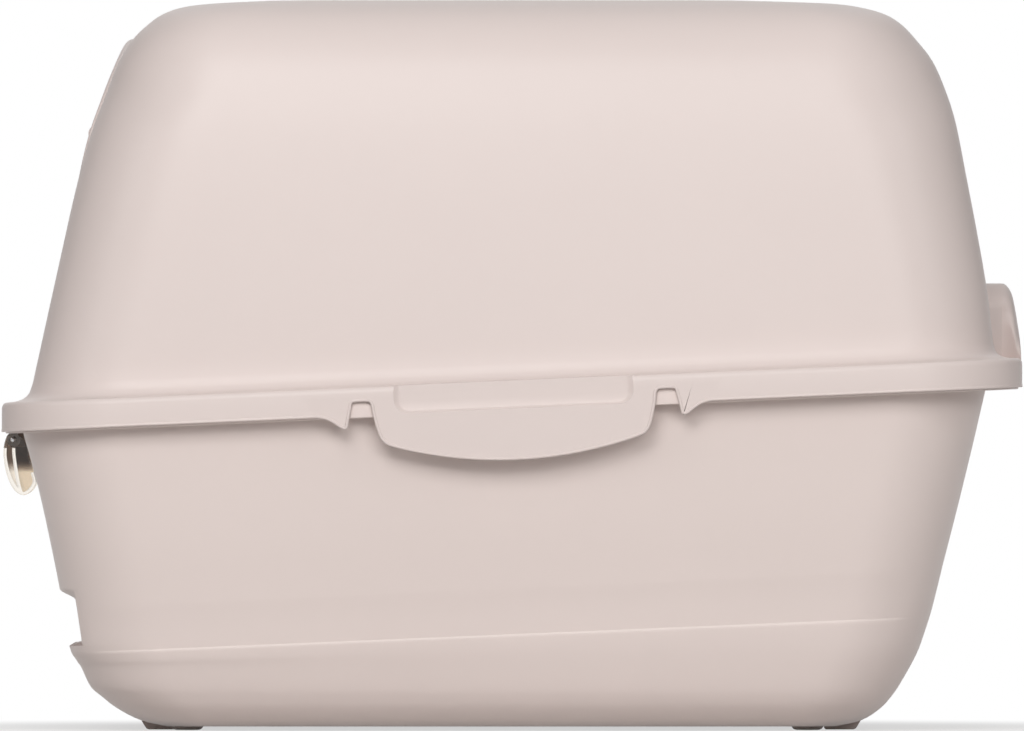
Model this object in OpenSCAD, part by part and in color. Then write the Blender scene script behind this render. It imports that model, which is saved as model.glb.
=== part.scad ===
/* [Overall size] */
// Length over the end grips
length = 560; // [548:1:580]
// Width over the rim
width = 400; // [390:1:420]
// Height with the hood on
height = 400; // [396:1:410]
// Wall of the moulded shells
wall = 2.4; // [2.2:0.1:2.8]
// How much the long sides bow outwards between the ends
barrel = 0.03; // [0:0.005:0.04]

/* [Rim] */
// Height of the rim top at mid-length
rim_top = 191.7; // [190:0.1:193]
// Height of the hood's skirt
skirt_h = 16.1; // [14:0.1:18]
// Slope of the rim, low at the front
rim_slope = 0.044; // [0.02:0.001:0.05]
// Corner radius of the rim seen from above
rim_radius = 62; // [56:1:66]
// Gap between the hood's skirt and the tray's rim
rim_gap = 0.5; // [0.4:0.1:0.8]

/* [Side tongues] */
// Half the length of a tongue
tongue_half = 75; // [60:1:85]
// Depth of a tongue below the skirt
tongue_drop = 27.5; // [20:0.5:32]
// From the end of a tongue to the tip of the flare beside it
slot_w = 17.5; // [15:0.5:20]
// Half the length of the finger pocket over a tongue
pocket_half = 65; // [50:1:68]
// Depth of the finger pocket
pocket_deep = 3.5; // [2.5:0.5:4]

/* [Entry] */
// Half the width of the entry opening
entry_half = 92; // [80:1:94]
// Height of the entry sill
entry_sill = 213; // [208:1:225]
// Height of the flap's pivots
pivot_z = 327; // [322:1:330]
// Height of the top of the entry arch
entry_top = 362; // [355:1:364]
// Radius of the flap's stub axles
stub_r = 2.3; // [2:0.1:2.8]

/* [Roof hatch] */
// Front end of the roof opening, from mid-length
hatch_front = -122; // [-126:1:-115]
// Rear end of the roof opening, from mid-length
hatch_rear = 106.6; // [100:0.2:107]
// Half the width of the roof opening
hatch_half = 105; // [95:1:108]
// Width of the ledge that the hatch rests on
ledge_w = 8; // [6:1:10]
// Travel of the hatch lock
lock_travel = 6; // [4:1:7]

/* [Smoothness] */
// Steps round each corner of the shells
corner_steps = 7; // [5:1:10]
// Steps along each long side of the shells
side_steps = 6; // [4:1:10]

/* [Hidden] */
beige = "#e4dad6";
tray_beige = "#dccdc8";
smoked = "#6b5d52";
charcoal = "#3a3a3c";
steel = "#b9bcc0";
rubber = "#d3c8c2";
half_l = length / 2;
half_w = width / 2;
eps = 0.05;
// Outer face of the skirt and the lip inside it, as insets from the overall box
skirt_inset = 0;
skirt_t = 2.2;
skirt_z = rim_top - skirt_h;
ledge_under = rim_top - 2.3;
// The hood's wall stands this far in from the rim
foot_z = rim_top + 3.1;

// One level of a shell: height at mid-length, front, rear and side insets from the
// overall box, corner radius, and the share of the rim's slope that the level has.
hood_levels = [
    [foot_z, 16, 16, 15, 52, 1],
    [230, 24.2, 19.5, 17.5, 54, 0.81],
    [265, 32.4, 25, 20.5, 56, 0.62],
    [300, 40.7, 31.2, 24, 58, 0.43],
    [330, 49.2, 36.7, 28, 60, 0.27],
    [350, 57.4, 42.6, 32, 62, 0.16],
    [366, 63.8, 49.4, 36.5, 58, 0.08],
    [378, 71.5, 58, 42.5, 52, 0],
    [386.5, 80, 66, 49.5, 46, 0],
    [392.5, 88.5, 75.5, 57.5, 41, 0],
    [396.5, 100, 90, 67, 38, 0],
    [height - 1.4, 118, 108, 76, 36, 0],
    [height, 146, 150, 83, 36, 0]
];
tray_levels = [
    [2.2, 90, 102, 58, 30, 0],
    [5.5, 76, 88, 49, 38, 0],
    [12, 63.5, 78, 40.5, 42, 0],
    [18.6, 55, 72, 35.5, 44, 0],
    [25, 49, 67, 32.5, 46, 0.1],
    [38, 44, 58.5, 28.5, 48, 0.35],
    [46, 41.5, 54, 26.5, 49, 0.75],
    [52, 40, 51.2, 25.7, 49.5, 1],
    [53, 39.7, 51, 25.6, 49.5, 1],
    [56.9, 37.4, 49.8, 25, 49.6, 1],
    [57.3, 37.3, 49.7, 25, 49.6, 1],
    [77.5, 34.2, 44.7, 22.5, 50, 1],
    [78.5, 34, 44.5, 22.4, 50, 1],
    [82.4, 33.3, 43.4, 22, 50, 1],
    [88.1, 32.3, 41.9, 21.3, 50.2, 1],
    [110, 28, 36.3, 18.5, 50.5, 1],
    [145, 20.4, 27.7, 15, 51, 1],
    [175.8, 12, 20.5, 11.5, 52, 1],
    [186.6, 9.5, 17.5, 9.7, 52.5, 1]
];
// Finger groove across the front wall and shallow band along the sides
groove_deep = 7.5;
groove_undercut = 3.6;
band_deep = 0.8;
groove_first = 10;
groove_last = 13;
band_first = 8;
band_last = 11;

// Section of the hood's front face in the entry: inset from the front and height
face = [[20.5, 196], [45.5, 317], [55, 347], [65, 373], [69.5, 380.5]];
wall_face = [[46.3, 317], [49.2, 327.3], [57.4, 348.4], [63.8, 365.2], [71.5, 378], [80, 386.5]];
frame_depth = 9;
frame_w = 12;
brow_w = 6;
arch_spring = 322;
pivot_x = -half_l + 52.4;
socket_r = stub_r + 0.06;
boss_r = 4.8;
flap_gap = 1.7;
flap_set_back = 3;
flap_t = 2.4;
boss_half = 3.8;
boss_y = entry_half + 4.6;
stub_half = 6.2;
stub_y = entry_half + 0.2;
hub_r = 4;
hub_half = 6;
hub_y = entry_half - 9.6;
ridge_half = 32;
ridge_z = entry_sill + 26;
ridge_x = -half_l + face[0][0] + (ridge_z - face[0][1]) * (face[1][0] - face[0][0]) / (face[1][1] - face[0][1])
    + flap_set_back + 0.4;
sill_r = 16;

// Roof hatch and its hinge
panel_t = 3.1;
roof_seat = height - 3.6;
ledge_t = 3;
hatch_gap = 0.8;
hinge_x = hatch_rear + 5.4;
hinge_z = height - 4.6;
barrel_r = 3.6;
pin_r = 1.5;
running = 0.06;
trough_half = 72.5;
trough_rear = hinge_x + 7;
roof_corner = 40;
seat_edge = 2.2;
end_knuckle = [69, 3.4];
mid_knuckle = [0, 8];
hatch_knuckle_at = [48, 8];
hinge_pin_half = 72;
hatch_rim_in = ledge_w + 1.4;
hatch_rim_t = 2;
hatch_rim_h = 8.6;
dish = [-107.5, -58.5, 21.5];
dish_r = 6;
dish_t = 2.2;
dish_floor = height - 12.5;
bolt_half = 6;
bolt_gap = 0.4;
button_x = dish[0] + 13;
button_w = 20;
button_half = 10;
button_top = height - 2.4;
button_ribs = 4;
rib_pitch = 4.4;
rib_w = 1.8;
bolt_z0 = dish_floor + 0.3;
bolt_z1 = height - 7.2;
vent_slots = 9;
vent_pitch = 12;
vent_w = 4;
vent_half = 42;
cassette = [-44, 76, 60];
cassette_h = 16;
cassette_t = 2;
grille_slots = 8;
grille_pitch = 12.6;
grille_w = 6;

// Pull handle at the front
handle_x = -half_l + 5.5;
handle_z = 159;
handle_half = 45;
handle_barrel = 4;
lug_y = 17;
lug_w = 6;
lug_reach = 8.6;
lug_gap = 0.6;
plate_t = 2;
plates = [-handle_half, -15, 13, handle_half - plate_t];

// Feet
pad_r = 8.8;
pad_top = 3;
pad_y = 112;
pad_front = -178;
pad_rear = 162;

// Rim parts that the tray and the hood share
flange_z = ledge_under - 0.4;
rim_drop = 40;
tongue_mid = 1.7;
flare = tongue_half + slot_w;
pocket_back = half_w - skirt_inset - pocket_deep - 2.5;
grip_half = 58;
grip_top = 243.6;
grip_wall = 2.4;
grip_waist = 4;
waist_r = 20;
grip_seat = 201.6;

// Moulded wedge feet beside the pads
wedge = [[-11.5, 2.6], [-11.5, 0], [5.5, 0], [9.5, 6.6], [-2, 3.8]];
wedge_front = -195;
wedge_rear = 183;
wedge_y = 76;
wedge_w = 22;

// Leans a thing with the rim, about the rim's top at mid-length
module tilted() {
    translate([0, 0, rim_top])
        rotate([0, -atan(rim_slope), 0])
            children();
}

function sgn(v) = v < 0 ? -1 : 1;

// A point on a corner, with the direction that it faces
function turn(cx, cy, r, a) = [cx + r * cos(a), cy + r * sin(a), a];

// Rounded outline of a level, anticlockwise from above
function outline(l) =
    let (x0 = -half_l + l[1] + l[4], x1 = half_l - l[2] - l[4], y1 = half_w - l[3] - l[4], q = 90 / corner_steps)
    concat(
        [for (k = [0:corner_steps]) turn(x1, y1, l[4], q * k)],
        [for (k = [1:side_steps - 1]) [x1 + (x0 - x1) * k / side_steps, y1 + l[4], 90]],
        [for (k = [0:corner_steps]) turn(x0, y1, l[4], 90 + q * k)],
        [for (k = [0:corner_steps]) turn(x0, -y1, l[4], 180 + q * k)],
        [for (k = [1:side_steps - 1]) [x0 + (x1 - x0) * k / side_steps, -y1 - l[4], 270]],
        [for (k = [0:corner_steps]) turn(x1, -y1, l[4], 270 + q * k)]
    );

// Ring of points in space; push is [front inwards, front upwards, sides inwards]
function ring(l, push = [0, 0, 0]) = [
    for (p = outline(l))
        let (front = cos(p[2]) < -0.75 ? 1 : 0, side = abs(sin(p[2])) > 0.75 ? 1 : 0)
        [
            p[0] + front * push[0],
            (p[1] - side * sgn(p[1]) * push[2]) * (1 - barrel * pow(p[0] / half_l, 2)),
            l[0] + l[5] * rim_slope * p[0] + front * push[1]
        ]
];

// Lean of a level from upright, read from the side insets of its neighbours
function lean(ls, i) =
    let (a = ls[max(i - 1, 0)], b = ls[min(i + 1, len(ls) - 1)])
    atan2(b[3] - a[3], b[0] - a[0]);

// A level moved inwards through the wall, square to the surface
function inside(l, a, t) =
    [l[0] - t * sin(a), l[1] + t * cos(a), l[2] + t * cos(a), l[3] + t * cos(a), l[4] - t * cos(a), l[5]];

// A rim level at an inset that is the same on every side
function rim(z, inset) = [z, inset, inset, inset, rim_radius - inset, 1];

// How far each tray level is pushed in by the groove and the band
function push_in(i) = [
    i >= groove_first && i <= groove_last ? groove_deep : 0,
    i == groove_first ? -groove_undercut : 0,
    i >= band_first && i <= band_last ? band_deep : 0
];

// Solid skin through rings, closed at the first and the last
module skin(rings) {
    n = len(rings[0]);
    m = len(rings);
    sides = [
        for (i = [0:m - 2], j = [0:n - 1], h = [0, 1])
            let (a = i * n + j, b = i * n + (j + 1) % n)
            h == 0 ? [a, a + n, b + n] : [a, b + n, b]
    ];
    first = [[for (j = [0:n - 1]) j]];
    last = [[for (j = [n - 1:-1:0]) (m - 1) * n + j]];
    polyhedron(points = [for (r = rings) each r], faces = concat(first, sides, last));
}

// A rounded rectangle between two corners
module slab(x0, x1, y, r, z0, z1) {
    translate([(x0 + x1) / 2, 0, z0])
        linear_extrude(z1 - z0)
            union() {
                square([x1 - x0 - 2 * r, 2 * y], center = true);
                square([x1 - x0, 2 * y - 2 * r], center = true);
                for (sx = [-1, 1], sy = [-1, 1])
                    translate([sx * ((x1 - x0) / 2 - r), sy * (y - r)])
                        circle(r, $fn = 48);
            }
}

// A block between two corners
module block(a, b) {
    translate(a)
        cube(b - a);
}

// A flat outline given by length and height, drawn out across the width
module across(points, y0, y1) {
    translate([0, y1, 0])
        rotate([90, 0, 0])
            linear_extrude(y1 - y0)
                polygon(points);
}

// A rod across the width
module rod(x, z, r, y0, y1, sides = 48) {
    translate([x, y1, z])
        rotate([90, 0, 0])
            cylinder(h = y1 - y0, r = r, $fn = sides);
}

// The entry arch, grown by g, drawn out through the front wall
module arch(g, sill = entry_sill) {
    w = entry_half + g;
    rise = entry_top + g - arch_spring;
    r = sill_r + g;
    foot = sill - g;
    points = concat(
        [for (k = [0:24]) [w * cos(180 * k / 24), arch_spring + rise * sin(180 * k / 24)]],
        [for (k = [0:4]) [-w + r - r * cos(90 * k / 4), foot + r - r * sin(90 * k / 4)]],
        [for (k = [0:4]) [w - r + r * sin(90 * k / 4), foot + r - r * cos(90 * k / 4)]]
    );
    translate([-half_l - 20, 0, 0])
        rotate([90, 0, 90])
            linear_extrude(120)
                polygon(points);
}

// A band that follows the front face, from d0 to d1 behind it
function face_band(path, d0, d1) =
    concat(
        [for (p = path) [-half_l + p[0] + d0, p[1]]],
        [for (i = [len(path) - 1:-1:0]) [-half_l + path[i][0] + d1, path[i][1]]]
    );

// A lug on the front wall that carries the pull handle's pin
module handle_lug(y) {
    difference() {
        union() {
            rod(handle_x, handle_z, handle_barrel, y - lug_w / 2, y + lug_w / 2);
            block([handle_x, y - lug_w / 2, handle_z - handle_barrel],
                [handle_x + lug_reach, y + lug_w / 2, handle_z + handle_barrel]);
        }
        rod(handle_x, handle_z, pin_r, y - lug_w, y + lug_w);
    }
}

module tray() {
    n = len(tray_levels);
    in = skirt_inset + skirt_t + rim_gap;
    outer = [for (i = [0:n - 1]) ring(tray_levels[i], push_in(i))];
    lip = [
        ring(rim(flange_z - 2.1, in + 2)),
        ring(rim(skirt_z + 0.4, in + 2)),
        ring(rim(skirt_z + 0.4, in)),
        ring(rim(flange_z - 0.8, in)),
        ring(rim(flange_z, in + 0.8)),
        ring([flange_z, 9.5 + wall, 17.5 + wall, 9.7 + wall, 50, 1])
    ];
    inner = [for (i = [n - 1:-1:0]) ring(inside(tray_levels[i], lean(tray_levels, i), wall), push_in(i))];
    color(tray_beige)
        union() {
            difference() {
                skin(concat(outer, lip, inner));
                tilted()
                    for (s = [-1, 1])
                        block([tongue_mid - pocket_half - 4, min(s * pocket_back, s * half_w), -rim_drop],
                            [tongue_mid + pocket_half + 4, max(s * pocket_back, s * half_w), 10]);
                block([half_l - 17.2, -grip_half + grip_wall, 150], [half_l, grip_half - grip_wall, 220]);
                for (x = [pad_front, pad_rear], y = [-pad_y, pad_y])
                    translate([x, y, 0])
                        cylinder(h = pad_top, r = pad_r + 0.1, $fn = 40);
            }
            for (e = [-1, 1], y = [-wedge_y, wedge_y])
                across([for (p = wedge) [(e < 0 ? wedge_front : wedge_rear) + e * p[0], p[1]]],
                    y - wedge_w / 2, y + wedge_w / 2);
            for (y = [-lug_y, lug_y])
                handle_lug(y);
        }
}

module hood_shell() {
    n = len(hood_levels);
    inner = [for (i = [n - 1:-1:0]) ring(inside(hood_levels[i], lean(hood_levels, i), wall))];
    out = skirt_inset + skirt_t;
    edge = [
        ring([rim_top - 0.4, 18.4, 22.8, 17.4, 49, 1]),
        ring([184, 18.2, 22.8, 17.4, 49, 1]),
        ring([184, 16.2, 20.9, 15.4, 51, 1]),
        ring([ledge_under, 16, 20.6, 15.2, 51, 1]),
        ring(rim(ledge_under, out)),
        ring(rim(skirt_z, out)),
        ring(rim(skirt_z, skirt_inset)),
        ring(rim(rim_top - 2.6, skirt_inset)),
        ring(rim(rim_top - 0.8, skirt_inset + 0.7)),
        ring(rim(rim_top, skirt_inset + 2.4)),
        ring([rim_top + 0.9, 13.6, 13.6, 12.6, 54, 1])
    ];
    outer = [for (i = [0:n - 1]) ring(hood_levels[i])];
    skin(concat(inner, edge, outer));
}

// Half of a tongue's outline from its middle: the lower edge, the rounded corner and the side
tongue_low = -skirt_h - tongue_drop;
tongue_curve = concat(
    [for (k = [0:8]) let (x = (tongue_half - 6.5) * k / 8) [x, tongue_low + 0.0022 * x * x]],
    [[tongue_half - 3.4, tongue_low + 12.4], [tongue_half - 1.2, tongue_low + 15.4],
        [tongue_half + 0.4, tongue_low + 20], [tongue_half + 2.2, -skirt_h], [tongue_half + 3.4, -8]]
);

// The whole outline, from the front end to the rear end
function tongue_edge() = concat(
    [for (i = [len(tongue_curve) - 1:-1:1]) [tongue_mid - tongue_curve[i][0], tongue_curve[i][1]]],
    [for (p = tongue_curve) [tongue_mid + p[0], p[1]]]
);

module tongue_side(s) {
    y0 = half_w - skirt_inset - skirt_t;
    y1 = half_w - skirt_inset;
    a = min(s * y0, s * y1);
    b = max(s * y0, s * y1);
    tilted() {
        across(tongue_edge(), a, b);
        for (e = [-1, 1])
            across([[tongue_mid + e * (flare + 16), -skirt_h + 1], [tongue_mid + e * (flare + 16), -skirt_h],
                [tongue_mid + e * (flare + 9), -skirt_h - 1.8], [tongue_mid + e * (flare + 2), -skirt_h - 6.4],
                [tongue_mid + e * (flare - 0.2), -skirt_h - 6.8], [tongue_mid + e * (flare - 1.4), -skirt_h - 5.8],
                [tongue_mid + e * (flare - 2.6), -skirt_h + 1]], a, b);
        block([tongue_mid - pocket_half - 2, min(s * (pocket_back + 0.5), s * y1), -skirt_h - 1],
            [tongue_mid + pocket_half + 2, max(s * (pocket_back + 0.5), s * y1), -0.2]);
    }
}

module tongue_cuts(s) {
    y1 = half_w + 2;
    y0 = half_w - skirt_inset - pocket_deep;
    ys = half_w - skirt_inset - skirt_t - 0.2;
    tilted() {
        for (e = [-1, 1])
            across([for (p = [[tongue_half + 0.4, tongue_low + 20], [tongue_half + 2.2, -skirt_h],
                [tongue_half + 2.9, -10.7], [tongue_half + 3.5, -9.1], [tongue_half + 5, -8.3],
                [flare - 5.6, -8.3], [flare - 4.2, -9.1], [flare - 3.8, -10.7],
                [flare - 2.6, -skirt_h], [flare - 1.4, -skirt_h - 5.8], [flare - 1.2, tongue_low + 20]])
                [tongue_mid + e * p[0], p[1]]], min(s * ys, s * y1), max(s * ys, s * y1));
        across([for (p = [[pocket_half, 3], [-pocket_half, 3], [-pocket_half, -skirt_h + 9],
            [-pocket_half + 2.3, -skirt_h + 3.3], [-pocket_half + 8, -skirt_h + 1], [pocket_half - 8, -skirt_h + 1],
            [pocket_half - 2.3, -skirt_h + 3.3], [pocket_half, -skirt_h + 9]])
            [tongue_mid + p[0], p[1]]], min(s * y0, s * y1), max(s * y0, s * y1));
    }
}

// Outline of the rear grip seen from behind, drawn out lengthwise
module grip_outline(half, top, r) {
    points = concat(
        [[-half, 160], [half, 160]],
        [for (k = [0:6]) [half - r + r * cos(15 * k), top - r + r * sin(15 * k)]],
        [for (k = [0:6]) [-half + r - r * sin(15 * k), top - r + r * cos(15 * k)]]
    );
    translate([half_l - 30, 0, 0])
        rotate([90, 0, 90])
            linear_extrude(40)
                polygon(points);
}

module rear_grip() {
    intersection() {
        across([for (p = [[-19.5, grip_seat], [-19.5, grip_top], [-11.5, grip_top], [-8, 242.8], [-5.4, 240],
            [-3.8, 235.4], [-2.7, 228.9], [-1.6, 222.3], [-0.5, 214.5], [0, 208], [0, 188.4], [-2, 188.4],
            [-2, grip_seat]])
            [half_l + p[0], p[1]]], -grip_half - 5, grip_half + 5);
        difference() {
            grip_outline(grip_half, grip_top, 30);
            for (s = [-1, 1])
                translate([half_l - 9, s * (grip_half - grip_waist + waist_r), rim_top])
                    cylinder(h = 80, r = waist_r, $fn = 96);
        }
    }
}

module rear_grip_hollow() {
    intersection() {
        across([for (p = [[-16.2, 150], [-16.2, 208], [-17.2, 230], [-18, 241.2], [-11.9, 241.2], [-9.4, 240.4],
            [-7.6, 238.4], [-6.1, 234.8], [-5, 228.5], [-3.9, 222], [-2.6, 214], [-2.3, 206], [-2.3, 150]])
            [half_l + p[0], p[1]]], -grip_half - 5, grip_half + 5);
        grip_outline(grip_half - grip_wall - grip_waist, grip_top - grip_wall, 27);
    }
}

module roof_frame() {
    slab(hatch_front - 6, hatch_rear + 4, hatch_half + 6, roof_corner + 6, roof_seat - ledge_t, height - 1.4);
    slab(hatch_rear - 7, trough_rear + 2.5, trough_half + 2.5, 3, hinge_z - 8, height - 1.4);
}

module roof_cuts() {
    slab(hatch_front, hatch_rear, hatch_half, roof_corner, roof_seat, height + 5);
    slab(hatch_front + ledge_w, hatch_rear - ledge_w, hatch_half - ledge_w, roof_corner - ledge_w,
        roof_seat - 30, height + 5);
    slab(hatch_rear - 2.6, trough_rear, trough_half, 1, hinge_z - 5.4, height + 5);
}

// A hinge knuckle on the roof, with the wall that carries it: k is its middle and half width
module roof_knuckle(k) {
    y0 = k[0] - k[1];
    y1 = k[0] + k[1];
    difference() {
        union() {
            rod(hinge_x, hinge_z, barrel_r, y0, y1);
            block([hinge_x - 2, y0, hinge_z - 5.6], [trough_rear + 0.4, y1, hinge_z - 1]);
        }
        rod(hinge_x, hinge_z, pin_r, y0 - 1, y1 + 1);
    }
}

module hood() {
    color(beige) {
        difference() {
            union() {
                hood_shell();
                roof_frame();
                rear_grip();
                tongue_side(-1);
                tongue_side(1);
            }
            roof_cuts();
            arch(frame_w);
            rear_grip_hollow();
            tongue_cuts(-1);
            tongue_cuts(1);
        }
        roof_knuckle(mid_knuckle);
        for (s = [-1, 1])
            roof_knuckle([s * end_knuckle[0], end_knuckle[1]]);
    }
}

// The raised surround that carries the flap
module entry_frame() {
    color(beige)
        difference() {
            union() {
                intersection() {
                    across(face_band(face, 0, frame_depth), -120, 120);
                    arch(frame_w);
                }
                intersection() {
                    across(concat([for (i = [1:4]) [-half_l + face[i][0], face[i][1]]],
                        [for (i = [5:-1:0]) [-half_l + wall_face[i][0] - eps, wall_face[i][1]]]), -120, 120);
                    difference() {
                        arch(frame_w + brow_w);
                        arch(frame_w - 1);
                    }
                }
                for (s = [-1, 1])
                    rod(pivot_x, pivot_z, boss_r, s * boss_y - boss_half, s * boss_y + boss_half);
            }
            arch(0);
            rod(pivot_x, pivot_z, socket_r, -entry_half - 7, entry_half + 7);
        }
}

// The tinted flap that swings both ways on its stub axles
module entry_flap() {
    color(smoked, 0.6)
        union() {
            intersection() {
                across(face_band(face, flap_set_back, flap_set_back + flap_t), -120, 120);
                arch(-flap_gap);
            }
            for (s = [-1, 1]) {
                rod(pivot_x, pivot_z, stub_r, s * stub_y - stub_half, s * stub_y + stub_half);
                rod(pivot_x, pivot_z, hub_r, s * hub_y - hub_half, s * hub_y + hub_half);
            }
            across([for (p = [[0, 0], [-3.6, 1.5], [-3.6, 4.5], [0.4, 6]]) [ridge_x + p[0], ridge_z + p[1]]],
                -ridge_half, ridge_half);
        }
}

// A knuckle of the hatch, with the arm that joins it to the panel
module hatch_knuckle(s) {
    y0 = s * hatch_knuckle_at[0] - hatch_knuckle_at[1];
    y1 = s * hatch_knuckle_at[0] + hatch_knuckle_at[1];
    rod(hinge_x, hinge_z, barrel_r, y0, y1);
    block([hatch_rear - 10, y0, roof_seat + 0.3], [hinge_x, y1, height - 1.2]);
}

// The hatch's outline, moved inwards by g
module hatch_plug(g, z0, z1) {
    slab(hatch_front + g, hatch_rear - g, hatch_half - g, roof_corner - g, z0, z1);
}

module roof_hatch() {
    g = hatch_gap;
    color(beige)
        difference() {
            union() {
                slab(hatch_front + g, hatch_rear - seat_edge, hatch_half - g, roof_corner - g,
                    height - panel_t, height);
                difference() {
                    hatch_plug(hatch_rim_in, height - hatch_rim_h, height - 1);
                    hatch_plug(hatch_rim_in + hatch_rim_t, height - hatch_rim_h - 5, height - panel_t);
                }
                slab(dish[0] - dish_t, dish[1] + dish_t, dish[2] + dish_t, dish_r + 2,
                    dish_floor - dish_t, height - 1);
                for (s = [-1, 1])
                    hatch_knuckle(s);
            }
            slab(dish[0], dish[1], dish[2], dish_r, dish_floor, height + 5);
            for (x = [dish[0] - 6, dish[1] - 1])
                block([x, -bolt_half - bolt_gap, dish_floor],
                    [x + 7, bolt_half + bolt_gap, bolt_z1 + bolt_gap]);
            for (k = [0:vent_slots - 1])
                let (x = cassette[0] + vent_pitch * (k + 1))
                    slab(x, x + vent_w, vent_half, vent_w / 2 - 0.1, height - 10, height + 5);
            rod(hinge_x, hinge_z, pin_r + running, -60, 60);
        }
}

module hatch_hinge_pin() {
    color(steel)
        rod(hinge_x, hinge_z, pin_r, -hinge_pin_half, hinge_pin_half);
}

// Sliding lock: a ribbed button in the dish and a bolt that goes under the roof's ledge
module hatch_lock() {
    color(tray_beige)
        union() {
            block([button_x, -button_half, bolt_z0], [button_x + button_w, button_half, button_top]);
            for (k = [0:button_ribs - 1])
                let (x = button_x + 2.5 + k * rib_pitch)
                    block([x, 1 - button_half, button_top - 0.2], [x + rib_w, button_half - 1, height - 1]);
            block([hatch_front + hatch_rim_in + 0.1, -bolt_half, bolt_z0], [button_x + 1, bolt_half, bolt_z1]);
            block([button_x + button_w - 1, -bolt_half, bolt_z0],
                [dish[1] + lock_travel + 3, bolt_half, bolt_z1]);
        }
}

// Cassette under the hatch that holds the filter behind the vent slots
module filter_holder() {
    x0 = cassette[0];
    x1 = cassette[1];
    y = cassette[2];
    top = height - panel_t;
    color(beige)
        difference() {
            slab(x0, x1, y, 8, top - cassette_h, top);
            slab(x0 + cassette_t, x1 - cassette_t, y - cassette_t, 6, top - cassette_h + cassette_t, top + 1);
            for (k = [0:grille_slots - 1])
                let (x = x0 + 12 + k * grille_pitch)
                    slab(x, x + grille_w, y - 10, grille_w / 2 - 0.1,
                        top - cassette_h - 1, top - cassette_h + 3);
        }
}

module charcoal_filter() {
    top = height - panel_t;
    color(charcoal)
        slab(cassette[0] + 3, cassette[1] - 3, cassette[2] - 3, 5, top - cassette_h + cassette_t, top - 0.6);
}

// One plate of the pull handle: points as inset from the front and height
module handle_plate(points, y0, y1) {
    across([for (p = points) [-half_l + p[0], p[1]]], y0, y1);
}

module pull_handle() {
    skin_line = [[1, 159], [0.5, 156], [0, 152.5], [0.1, 148.5], [1.2, 142], [3.4, 135.6], [6.2, 131], [9.6, 128.6]];
    color(smoked, 0.7)
        difference() {
            union() {
                rod(handle_x, handle_z, handle_barrel, -handle_half, handle_half);
                handle_plate(concat(skin_line, [[12.4, 128.8], [10.4, 131], [8, 132.6], [5.2, 136.8], [3.2, 142.6],
                    [2.1, 148.7], [2, 152.3], [2.5, 156], [3, 160]]), -handle_half, handle_half);
                handle_plate([[4.6, 158], [5.4, 150], [6.8, 141], [8.6, 133], [9.6, 128.6], [12.2, 128.7], [10.4, 133.4],
                    [8.6, 141.4], [7.2, 150.2], [6.4, 158]], -handle_half, handle_half);
                for (y = plates)
                    handle_plate([[5.2, 158], [9, 160], [12.2, 159], [13.6, 150], [16.6, 141.6], [18, 136.6],
                        [15.5, 131.2], [11.8, 128.6], [9.6, 128.6], [7, 141]], y, y + plate_t);
                handle_plate([[16.2, 141.6], [17.6, 136.8], [15.3, 132], [11.6, 129.6], [11.8, 128.6], [15.5, 131.2],
                    [18, 136.6], [16.6, 141.6]], -handle_half, handle_half);
            }
            for (y = [-lug_y, lug_y])
                block([-half_l - 5, y - lug_w / 2 - lug_gap, handle_z - handle_barrel - 0.7],
                    [-half_l + 15, y + lug_w / 2 + lug_gap, handle_z + 8]);
            rod(handle_x, handle_z, pin_r + running, -handle_half - 1, handle_half + 1);
        }
}

module pull_handle_pin() {
    color(steel)
        rod(handle_x, handle_z, pin_r, -handle_half, handle_half);
}

// Soft pad pressed into a recess under the tray
module foot_pad(x, y) {
    color(rubber)
        translate([x, y, 0])
            rotate_extrude($fn = 40)
                polygon([[0, 0], [6.4, 0], [7.9, 0.6], [8.6, 1.5], [pad_r, 2.4], [pad_r, pad_top], [0, pad_top]]);
}

module foot_pad_front_left() { foot_pad(pad_front, pad_y); }
module foot_pad_front_right() { foot_pad(pad_front, -pad_y); }
module foot_pad_rear_left() { foot_pad(pad_rear, pad_y); }
module foot_pad_rear_right() { foot_pad(pad_rear, -pad_y); }

tray();
hood();
entry_frame();
entry_flap();
roof_hatch();
hatch_hinge_pin();
hatch_lock();
filter_holder();
charcoal_filter();
pull_handle();
pull_handle_pin();
foot_pad_front_left();
foot_pad_front_right();
foot_pad_rear_left();
foot_pad_rear_right();
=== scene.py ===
import math

import bmesh
import bpy
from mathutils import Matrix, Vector


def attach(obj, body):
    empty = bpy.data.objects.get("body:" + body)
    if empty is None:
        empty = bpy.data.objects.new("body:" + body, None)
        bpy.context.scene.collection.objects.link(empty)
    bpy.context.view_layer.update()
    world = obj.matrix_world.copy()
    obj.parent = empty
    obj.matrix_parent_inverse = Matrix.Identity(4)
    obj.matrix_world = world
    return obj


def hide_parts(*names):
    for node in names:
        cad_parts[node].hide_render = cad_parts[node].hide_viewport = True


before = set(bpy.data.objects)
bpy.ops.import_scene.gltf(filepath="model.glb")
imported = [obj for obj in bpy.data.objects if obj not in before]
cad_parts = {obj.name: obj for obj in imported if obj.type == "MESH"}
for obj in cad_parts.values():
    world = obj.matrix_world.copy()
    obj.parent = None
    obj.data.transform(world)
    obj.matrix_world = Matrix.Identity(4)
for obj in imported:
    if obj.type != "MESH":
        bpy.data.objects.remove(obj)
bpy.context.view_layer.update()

mm = 0.001

# Camera, at the photograph's angle: square to the long side and level, at half the height of the
# box, from far enough that both ends are seen without spread. The picture is 1024 by 731 pixels.
stand_off = 18.0
near_corner = 0.138
frame_width = 0.5606
eye_height = 0.1998

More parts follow.
